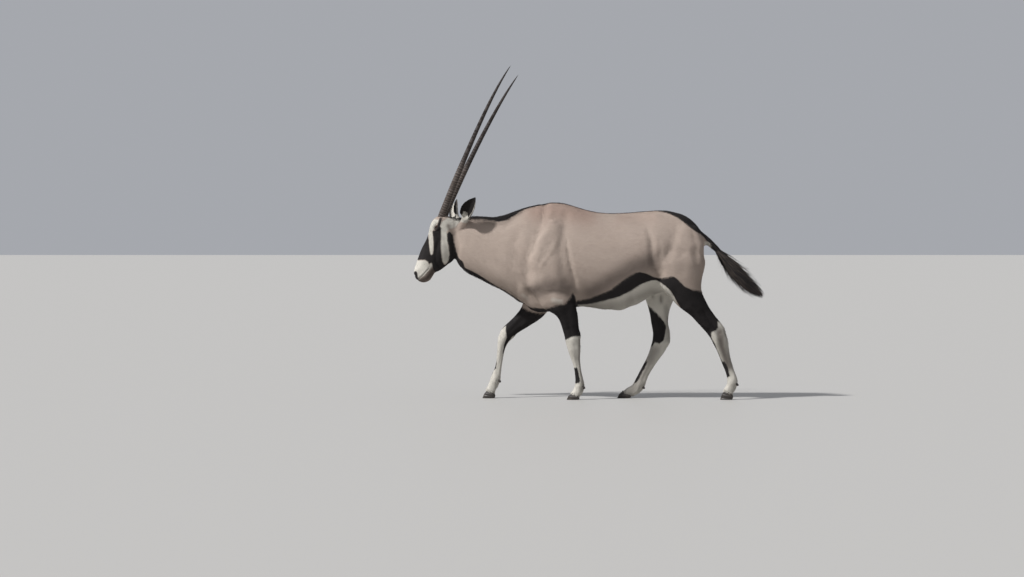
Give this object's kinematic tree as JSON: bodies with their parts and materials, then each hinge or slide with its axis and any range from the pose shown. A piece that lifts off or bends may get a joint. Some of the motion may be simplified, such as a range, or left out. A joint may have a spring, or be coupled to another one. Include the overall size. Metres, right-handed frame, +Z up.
{
  "type": "gemsbok",
  "caption": "Life-size still model of a walking gemsbok with long ringed horns, a masked face, a dark flank stripe and a tufted tail.",
  "frame": {"origin": "on the floor, under the middle of the animal's bounding box", "axes": "+Z up; the animal walks towards -X, so +X runs from the muzzle to the tail; its left side faces -Y"},
  "size_m": [2.1595, 0.4378, 2.0523],
  "materials": {
    "coat": "short flat hair, fawn grey",
    "leg_coat": "short flat hair, black brown over the upper legs",
    "stocking_coat": "short flat hair, off-white with dark shin marks",
    "face_coat": "very short hair, white with a black mask",
    "dark_coat": "long coarse black hair",
    "horn": "ringed keratin, satin, dark brown",
    "hoof": "keratin, satin, dark grey",
    "eye": "wet and glossy, dark brown"
  },
  "bodies": {
    "root": {"foreleg_left_upper": "leg_coat", "foreleg_left_lower": "stocking_coat", "foreleg_left_claw_outer": "hoof", "foreleg_left_claw_inner": "hoof", "foreleg_left_dewclaw_outer": "hoof", "foreleg_left_dewclaw_inner": "hoof", "foreleg_right_upper": "leg_coat", "foreleg_right_lower": "stocking_coat", "foreleg_right_claw_outer": "hoof", "foreleg_right_claw_inner": "hoof", "foreleg_right_dewclaw_outer": "hoof", "foreleg_right_dewclaw_inner": "hoof", "hindleg_left_upper": "leg_coat", "hindleg_left_lower": "stocking_coat", "hindleg_left_claw_outer": "hoof", "hindleg_left_claw_inner": "hoof", "hindleg_left_dewclaw_outer": "hoof", "hindleg_left_dewclaw_inner": "hoof", "hindleg_right_upper": "leg_coat", "hindleg_right_lower": "stocking_coat", "hindleg_right_claw_outer": "hoof", "hindleg_right_claw_inner": "hoof", "hindleg_right_dewclaw_outer": "hoof", "hindleg_right_dewclaw_inner": "hoof", "trunk": "coat", "neck": "coat", "head": "face_coat", "lower_jaw": "face_coat", "tail": "dark_coat", "tail_tuft": "dark_coat", "ear_left": "face_coat", "ear_right": "face_coat", "horn_left": "horn", "eye_left": "eye", "horn_right": "horn", "eye_right": "eye"}
  },
  "joints": []
}
